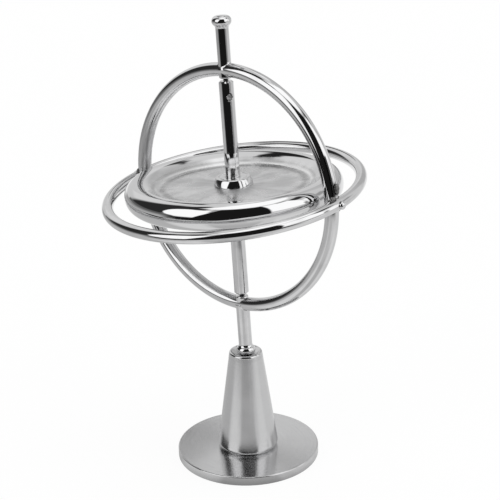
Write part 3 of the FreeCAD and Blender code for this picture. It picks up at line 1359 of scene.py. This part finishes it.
    def bead(self, centre: Vector, size: Triple, seed: float) -> Mesh:
        """Build a lump of braze.

        Args:
            centre: its middle.
            size: its reach along the joints' line, across it and upwards.
            seed: shifts its lumps.

        Returns:
            The mesh.
        """
        work = bmesh.new()
        bmesh.ops.create_icosphere(work, subdivisions=4, radius=1.0)
        for vertex in work.verts:
            lump = noise.noise(vertex.co * self.bead_lumps + Vector((seed, 0, 0)))
            swell = 1 + self.bead_swell * lump
            point = Vector(reach * way * swell for way, reach in zip(vertex.co, size))
            vertex.co = self.plane_turn @ point + centre
        return stored(work)

    def joint_beads(self) -> Mesh:
        """Build the beads where the rings are lapped, and a short run above the front one.

        Returns:
            The beads as one mesh.
        """
        middle = (self.upright_outside + self.level_radius - self.level_wire) / 2
        beads = [self.bead(self.joint * (middle * way), self.bead_size, seed)
                 for way, seed in zip((1, -1), self.bead_seeds)]
        run = self.joint * self.run_place[0] + Vector((0, 0, self.run_place[1]))
        beads.append(self.bead(run, self.run_size, self.run_seed))
        return joined(beads)

    def saddle_height(self, along: float, across: float) -> float:
        """Return the height of the upright ring's outside above a point beside the axis.

        Args:
            along: distance from the axis in the plane of the ring.
            across: distance from that plane.

        Returns:
            The height above the rings' centre.
        """
        across = min(abs(across), self.upright_wire * self.saddle_reach)
        reach = self.upright_radius + math.sqrt(self.upright_wire ** 2 - across ** 2)
        return math.sqrt(reach ** 2 - along ** 2)

    def post_fillet(self, radius: float) -> Mesh:
        """Build the fine fillet around a post's foot, where it saddles the upright ring.

        Args:
            radius: the post's radius.

        Returns:
            The mesh.
        """
        reach, runs, steps = self.fillet, self.fillet_runs, self.post_sides
        inwards, down = self.fillet_root
        up = Vector((0, 0, 1))
        points: list[Vector] = []
        for step in range(steps):
            out = direction(360 * step / steps)
            at_post, at_toe = (self.saddle_height(*(out * r).xy) for r in (radius, radius + reach))
            corner = out * radius + up * at_post
            top = corner + up * reach
            toe = out * (radius + reach) + up * at_toe
            section = [corner - out * inwards - up * down]
            for run in range(runs + 1):
                t = run / runs
                section.append(top * (1 - t) ** 2 + corner * (2 * t * (1 - t)) + toe * t ** 2)
            points.extend(self.plane_turn @ point for point in section)
        wide = runs + 2
        faces = []
        for step in range(steps):
            here, after = step * wide, (step + 1) % steps * wide
            for run in range(wide):
                beside = (run + 1) % wide
                faces.append((here + run, after + run, after + beside, here + beside))
        return cleaned(new_mesh(points, faces))

    def post_beads(self) -> Mesh:
        """Build the fillets where the posts stand on the upright ring.

        Returns:
            Both fillets as one mesh.
        """
        above, below = map(self.post_fillet, (self.upper_post_radius, self.lower_post_radius))
        below.transform(turned(180, self.joint))
        return joined([above, below])

    def upright_streaks(self) -> tuple[Streak, ...]:
        """Return the streaks on the upright ring: two painted dark reflections and a wide hazy one.

        Returns:
            The three streaks.
        """
        ring = (self.plane_azimuth, self.upright_radius)
        return (
            Streak(*ring, (4, 22.5), (-44, -20)),
            Streak(*ring, (4, 9.5), (-25, 14)),
            Streak(*ring, (150, 177), (-200, 200), edge=6, colour=(0.66, 0.66, 0.665), haze=0.36),
        )

    def build(self, maker: Maker) -> None:
        """Make and dress the cage's pieces.

        Args:
            maker: puts them in the scene.
        """
        centre = LEAN.centre()
        wire = Polish("polished_wire").material(centre)
        streaked = Polish("streaked_wire", stains=self.upright_streaks()).material(centre)
        fittings = Polish("polished_fittings", haze=0.05).material(centre)
        dull = Polish("bearing_steel", haze=0.03).material(centre)
        braze = Braze("dark_braze").material(centre)
        tree = self.ring_tree()
        upright, level = (
            tree.mesh({"Ring Radius": radius, "Wire Radius": thick, "Ring Steps": self.ring_steps,
                       "Wire Steps": self.wire_steps, "Material": finish})
            for radius, thick, finish in ((self.upright_radius, self.upright_wire, streaked),
                                          (self.level_radius, self.level_wire, wire))
        )
        upright_place = centre @ (self.plane_turn @ turned(90, "X"))
        level_place = centre @ turned(self.level_tilt, self.joint)
        foot = BallEnd(self.lower_post_radius, self.pivot_above_foot)
        foot_place = centre @ lifted(-self.upright_outside - self.lower_post_length)
        foot_post = self.post_mesh(self.lower_post_radius, self.lower_post_length, foot)
        knob = BallEnd(self.upper_post_radius, self.knob_dome_centre)
        knob_place = centre @ lifted(self.upright_outside + self.upper_post_length)
        knob_post = self.post_mesh(self.upper_post_radius, self.upper_post_length, knob)
        bearings = self.bearing_mesh(), turned_over(self.bearing_mesh())
        rings, fitted = "polished_ring_wire", "polished_fittings"
        for name, mesh, place, finish, slot, node in (
            ("upright_ring", upright, upright_place, streaked, rings, "vertical_ring"),
            ("level_ring", level, level_place, wire, rings, "horizontal_ring"),
            ("foot", foot.mesh(), foot_place, fittings, fitted, "foot_ball"),
            ("knob", turned_over(knob.mesh()), knob_place, fittings, fitted, "top_knob"),
            ("post_below", turned_over(foot_post), centre, fittings, fitted, "lower_post"),
            ("post_above", knob_post, centre, fittings, fitted, "upper_post"),
            ("bearing_above", bearings[0], centre, dull, "bearing_steel", "upper_bearing"),
            ("bearing_below", bearings[1], centre, dull, "bearing_steel", "lower_bearing"),
            ("joint_pins", self.pin_pair(fittings), centre, fittings, fitted, "ring_pins"),
            ("joint_beads", self.joint_beads(), centre, braze, "dark_braze", "ring_braze"),
            ("post_beads", self.post_beads(), centre, fittings, "dark_braze", "post_braze"),
        ):
            maker.add(name, mesh, place, finish, Body.CAGE, slot, node)


# --- Rotor ---


@dataclass
class Rotor:
    """Flywheel with its hub collars, axle and pivot pins.

    Sizes are in millimetres about the rings' centre, and angles in degrees.
    """

    radius: float = 26.7
    lift: float = 0.18
    land: float = 0.28
    side_round: float = 3.45
    side_turn: float = 59.0
    shoulder_round: float = 1.45
    rim_width: float = 2.6
    brow_round: float = 6.5
    slope: float = 31.0
    cove_round: float = 2.2
    web_half: float = 1.0
    disc_sides: int = 384
    axle_radius: float = 1.8
    axle_half: float = 26.8
    axle_chamfer: float = 0.35
    axle_sides: int = 128
    collar_radius: float = 4.875
    collar_height: float = 2.05
    collar_low_turn: float = 9.0
    collar_high_turn: float = 27.0
    collar_edge: float = 0.5
    groove_radius: float = 3.5
    groove_half: float = 0.175
    groove_depth: float = 0.12
    countersink: float = 0.25
    hole_height: float = 23.0
    hole_radius: float = 0.75
    hole_sink: float = 0.3
    hole_azimuth: float = -66.0
    hole_shade_reach: float = 1.65
    drill_reach: float = 2.88
    drill_sides: int = 64
    pin_radius: float = 0.6
    pin_low: float = 24.3
    pin_shoulder: float = 27.619
    pin_tip: float = 28.29
    pin_sides: int = 48

    def upper_outline(self) -> Profile:
        """Draw the flywheel's upper half, from the land of its rim to its bore.

        Returns:
            The open outline.
        """
        land, side, turn = self.land / 2, self.side_round, math.radians(self.side_turn)
        inward = side - self.shoulder_round
        middle = self.radius - side
        shoulder = (middle + inward * math.cos(turn), land + inward * math.sin(turn))
        brow = shoulder[1] + self.shoulder_round - self.brow_round
        outline = Profile(self.radius, land)
        outline.arc((middle, land), side, 0, self.side_turn, 36)
        outline.arc(shoulder, self.shoulder_round, self.side_turn, 90, 18)
        inner = (self.radius - self.rim_width, brow)
        outline.arc(inner, self.brow_round, 90, 90 + self.slope, 20)
        radius, height = outline.points[-1]
        fall = math.radians(self.slope)
        end = self.web_half + self.cove_round * (1 - math.cos(fall))
        radius -= (height - end) / math.tan(fall)
        web = (radius - self.cove_round * math.sin(fall), self.web_half + self.cove_round)
        outline.line(radius, end).arc(web, self.cove_round, -90 + self.slope, -90, 20)
        return outline.line(self.axle_radius, self.web_half)

    def disc_mesh(self) -> Mesh:
        """Build the flywheel, pierced for the axle.

        Returns:
            The mesh of the flywheel.
        """
        upper = self.upper_outline().points
        outline = Profile(*upper[-1])
        outline.points = [(radius, -height) for radius, height in reversed(upper)] + upper
        return outline.mesh(self.disc_sides, closed=True)

    def collar_mesh(self) -> Mesh:
        """Build the upper hub collar: its side leans in, and its top edge is round.

        Returns:
            The mesh of the collar.
        """
        low = self.web_half
        high = low + self.collar_height
        start, end = math.radians(self.collar_low_turn), math.radians(self.collar_high_turn)
        rise = self.collar_height - self.collar_edge * (1 - math.sin(end))
        side = rise / (math.sin(end) - math.sin(start))
        middle = (self.collar_radius - side * math.cos(start), low - side * math.sin(start))
        inward = side - self.collar_edge
        shoulder = (middle[0] + inward * math.cos(end), middle[1] + inward * math.sin(end))
        bore = self.axle_radius
        outline = Profile(bore, low).line(self.collar_radius, low)
        outline.arc(middle, side, self.collar_low_turn, self.collar_high_turn, 24)
        outline.arc(shoulder, self.collar_edge, self.collar_high_turn, 90, 10)
        outline.line(self.groove_radius + self.groove_half, high)
        outline.arc((self.groove_radius, high), self.groove_half, 0, -180, 8, self.groove_depth)
        outline.line(bore + self.countersink, high).line(bore, high - self.countersink)
        return outline.mesh(self.axle_sides, closed=True)

    def axle_mesh(self) -> Mesh:
        """Build the axle and pierce it for the starting cord.

        Returns:
            The mesh of the axle.
        """
        end, edge = self.axle_half, self.axle_chamfer
        shaft = Profile(0, -end).line(self.axle_radius - edge, -end)
        shaft.line(self.axle_radius, -end + edge).line(self.axle_radius, end - edge)
        shaft.line(self.axle_radius - edge, end).line(0, end)
        reach, mouth = self.drill_reach, self.axle_radius - self.hole_sink
        wide = self.hole_radius + (reach - mouth)
        drill = Profile(0, -reach).line(wide, -reach).line(self.hole_radius, -mouth)
        drill.line(self.hole_radius, mouth).line(wide, reach).line(0, reach)
        across = direction(self.hole_azimuth).to_track_quat("Z", "Y").to_matrix().to_4x4()
        tool = cleaned(drill.mesh(self.drill_sides))
        tool.transform(lifted(self.hole_height) @ across)
        return pierced(cleaned(shaft.mesh(self.axle_sides)), tool)

    def pin_mesh(self) -> Mesh:
        """Build the upper pivot pin.

        Returns:
            The mesh of the pin.
        """
        outline = Profile(0, self.pin_low).line(self.pin_radius, self.pin_low)
        outline.line(self.pin_radius, self.pin_shoulder).line(0, self.pin_tip)
        return outline.mesh(self.pin_sides)

    def build(self, maker: Maker) -> None:
        """Make and dress the rotor's pieces.

        Args:
            maker: puts them in the scene.
        """
        centre = LEAN.centre()
        middle = LEAN.matrix(LEAN.centre_height + self.lift)
        disc = Flywheel("polished_rotor").material(middle)
        shaft = Polish("polished_axle", haze=0.06).material(centre)
        bored = Bored("bored_axle", self.axle_radius, self.hole_height, self.hole_shade_reach)
        bored = bored.material(centre)
        # Near-black pivot pins: painted shade in the dark gaps between the axle's ends and the
        # bearings.
        dull = Braze("pivot_painted_shade", (0.08, 0.08, 0.08)).material(centre)
        collars = self.collar_mesh(), turned_over(self.collar_mesh())
        pivots = self.pin_mesh(), turned_over(self.pin_mesh())
        for name, mesh, place, finish, slot, node in (
            ("flywheel", self.disc_mesh(), middle, disc, "polished_rotor", "rotor_disc"),
            ("collar_above", collars[0], middle, shaft, "polished_rotor", "upper_collar"),
            ("collar_below", collars[1], middle, shaft, "polished_rotor", "lower_collar"),
            ("axle_shaft", self.axle_mesh(), centre, bored, "polished_axle", "axle"),
            ("pivot_above", pivots[0], centre, dull, "bearing_steel", "upper_pivot_pin"),
            ("pivot_below", pivots[1], centre, dull, "bearing_steel", "lower_pivot_pin"),
        ):
            maker.add(name, mesh, place, finish, Body.ROTOR, slot, node)


# --- Studio ---


@dataclass(frozen=True)
class Panel:
    """Part of the room or of the floor's glow that is brighter or darker than the rest.

    Azimuths are in degrees, 0 in front of the object and growing to its right. Levels are
    elevations in degrees in the room, and distances in centimetres on the floor. The edge is
    the width of the soft border, the corner the round of the corners, and the skew the shift in
    azimuth for each step of level.
    """

    strength: float
    azimuths: Point
    levels: Point
    edge: float = 4.0
    corner: float = 0.0
    skew: float = 0.0

    def laid_over(self, light: Value, azimuth: Value, level: Value) -> Value:
        """Return the light with this panel in it.

        Args:
            light: the light without the panel.
            azimuth: azimuth of the direction or place.
            level: its elevation or distance.

        Returns:
            The light.
        """
        low, high = self.levels
        rise = level - (low + high) / 2
        above = abs(rise) - ((high - low) / 2 - self.corner)
        low, high = self.azimuths
        middle = azimuth - rise * self.skew - ((low + high) / 2 - 180.0)
        beside = abs(middle.wrapped(360.0) - 180.0) - ((high - low) / 2 - self.corner)
        past_corner = above.most(0.0).reach(beside.most(0.0))
        outside = past_corner + above.most(beside).least(0.0) - self.corner
        share = outside.ramp(self.edge / 2, -self.edge / 2)
        return light + (self.strength - light) * share


@dataclass
class Studio:
    """Camera, pale floor and soft lights.

    The camera's place is in metres, its angles in degrees and its lens in millimetres.
    """

    camera_place: Triple = (0.0, -0.34895, 0.19018)
    camera_yaw: float = 0.2907
    camera_pitch: float = -21.074
    camera_roll: float = -1.535
    camera_reach: Point = (0.01, 20.0)
    lens: float = 109.62
    sensor: float = 36.0
    floor_size: float = 3.0
    floor_paint: Triple = (0.85, 0.85, 0.85)
    floor_glow: float = 0.77
    floor_seen: float = 1.04
    floor_glow_share: float = 0.9
    backdrop: float = 0.76
    room: tuple[Panel, ...] = (
        Panel(0.72, (136, 224), (-10, 62), 12),
        Panel(0.84, (168, 206), (20, 60), 10),
        Panel(0.63, (138, 166), (14, 60), 8),
        Panel(0.55, (140, 170), (2, 32), 8),
        Panel(0.86, (-160, -126), (14, 62), 8),
        Panel(1.36, (-62, 150), (61, 110), 4),
        Panel(0.80, (-200, -62), (60, 82), 10),
        Panel(0.98, (-205, -62), (82, 110), 6),
        Panel(0.68, (136, 162), (60, 80), 8),
        Panel(1.15, (158, 188), (58, 74), 8),
        Panel(0.03, (-128, -70), (-10, 60), 12, 0, 0.4),
        Panel(0.03, (-102, -70), (40, 74), 5, 8),
        Panel(0.03, (-104, -46), (46, 61), 4),
        Panel(0.14, (-140, -66), (-20, 4), 4),
        Panel(1.36, (-82, -30), (2, 51), 2.5, 17),
        Panel(1.36, (-66, -30), (1.5, 50), 2.5, 2),
        Panel(0.45, (-34, -20), (36, 58), 5),
        Panel(0.012, (-37, 10), (-20, 58), 2.5, 0, 0.33),
        Panel(0.012, (-20, 37), (-20, 58), 2.5),
        Panel(1.36, (38, 81.5), (7, 56), 2.5),
        Panel(0.35, (62, 84), (54.5, 59), 3),
        Panel(0.35, (77, 82), (4, 19), 2),
        Panel(1.3, (83, 98), (0, 34), 4),
        Panel(0.04, (82, 111), (43, 55), 3, 4),
        Panel(0.4, (101, 117), (18, 31), 6),
        Panel(0.02, (-169.3, -160.3), (22.5, 60), 3, 0, 0.56),
        Panel(0.06, (169, 174.5), (31, 47), 3.5, 0, -0.55),
    )
    # Painted light and shade on the floor that reflections see.
    table: tuple[Panel, ...] = (
        Panel(0.95, (140, 220), (8, 400), 12),
        Panel(0.58, (-150, -76), (-20, 16), 10),
        Panel(0.86, (-68, -33), (-20, 11), 8),
        Panel(0.60, (-90, -40), (12.5, 30), 5),
        Panel(0.86, (43, 74), (-20, 14), 8),
        Panel(0.57, (-150, -66), (16, 400), 12),
        Panel(0.42, (-150, -66), (36, 400), 14),
        Panel(0.24, (-132, -66), (62, 400), 30),
        Panel(0.55, (-26, 28), (-20, 9), 9),
        Panel(0.62, (-25, 12), (9.5, 19), 6),
        Panel(0.68, (60, 120), (38, 400), 16),
        Panel(1.3, (46, 76), (27, 38), 6),
        Panel(0.012, (-73, 52), (25, 400), 20),
        Panel(0.30, (50, 70), (40, 400), 20),
        Panel(0.012, (-61, 38), (25, 400), 8),
    )

    def camera(self) -> None:
        """Set up the camera."""
        data = bpy.data.cameras.new("camera")
        data.sensor_width = self.sensor
        data.lens = self.lens
        data.clip_start, data.clip_end = self.camera_reach
        yaw, pitch, roll = map(math.radians, (self.camera_yaw, self.camera_pitch, self.camera_roll))
        level, rise = math.cos(pitch), math.sin(pitch)
        ahead = Vector((math.sin(yaw) * level, math.cos(yaw) * level, rise))
        right = ahead.cross(Vector((0, 0, 1))).normalized()
        up = right.cross(ahead)
        right, up = (right * math.cos(roll) + up * math.sin(roll),
                     up * math.cos(roll) - right * math.sin(roll))
        axes = Matrix((right, up, -ahead)).transposed().to_4x4()
        camera = in_scene("camera", data)
        camera.matrix_world = Matrix.Translation(self.camera_place) @ axes
        bpy.context.scene.camera = camera

    @staticmethod
    def azimuth(x: Value, y: Value) -> Value:
        """Return the azimuth of a place or direction, in degrees."""
        return x.angle(-y).degrees()

    def floor(self) -> None:
        """Lay the pale floor; in reflections it glows with painted light and shade."""
        half = self.floor_size / 2
        corners = [(x * half, y * half, 0) for x, y in ((-1, -1), (1, -1), (1, 1), (-1, 1))]
        mesh = new_mesh(corners, [(0, 1, 2, 3)])
        material = bpy.data.materials.new("pale_floor")
        material.use_nodes = True
        graph = Graph(material.node_tree)
        paint = graph.node("ShaderNodeBsdfDiffuse", None, {"Color": (*self.floor_paint, 1)})
        x, y, _ = graph.split(graph.node("ShaderNodeTexCoord").outputs["Object"])
        azimuth, distance = self.azimuth(x, y), x.reach(y) * (1 / CM)
        # Painted light and shade on the floor, seen in reflections: panels by azimuth and distance.
        light = graph.constant(self.floor_glow)
        for panel in self.table:
            light = panel.laid_over(light, azimuth, distance)
        rays = graph.node("ShaderNodeLightPath").outputs
        seen, glossy, through = (Value(graph, rays[f"Is {kind} Ray"])
                                 for kind in ("Camera", "Glossy", "Transmission"))
        strength = seen * self.floor_seen + (1.0 - seen) * light
        glow = graph.node("ShaderNodeEmission", None, {"Color": WHITE, "Strength": strength})
        share = (seen * self.floor_glow_share).most(glossy).most(through)
        sockets = {0: share, 1: paint.outputs[0], 2: glow.outputs[0]}
        mixed = graph.node("ShaderNodeMixShader", None, sockets)
        graph.node("ShaderNodeOutputMaterial", None, {"Surface": mixed.outputs[0]})
        mesh.materials.append(material)
        floor = in_scene("floor", mesh)

    def world(self) -> None:
        """Paint the room: a plain backdrop with soft panels and dark gaps between them."""
        world = bpy.data.worlds.new("studio")
        bpy.context.scene.world = world
        world.use_nodes = True
        graph = Graph(world.node_tree)
        x, y, z = graph.split(graph.node("ShaderNodeTexCoord").outputs["Generated"])
        azimuth, elevation = self.azimuth(x, y), z.arcsine().degrees()
        light = graph.constant(self.backdrop)
        for panel in self.room:
            light = panel.laid_over(light, azimuth, elevation)
        seen = Value(graph, graph.node("ShaderNodeLightPath").outputs["Is Camera Ray"])
        strength = seen + (1.0 - seen) * light
        sockets = {"Color": WHITE, "Strength": strength}
        sky = graph.node("ShaderNodeBackground", None, sockets)
        graph.node("ShaderNodeOutputWorld", None, {"Surface": sky.outputs[0]})

    def build(self) -> None:
        """Set up camera, floor and lights."""
        bpy.context.scene.view_settings.view_transform = "Standard"
        self.camera()
        self.floor()
        self.world()


def main() -> None:
    """Build the gyroscope and the studio."""
    logging.basicConfig(level=logging.INFO, format="%(name)s: %(message)s")
    maker = Maker()
    Stand().build(maker)
    Cage().build(maker)
    Rotor().build(maker)
    Studio().build()
    log.info("%d pieces", len(maker.made))


if __name__ == "__main__":
    main()
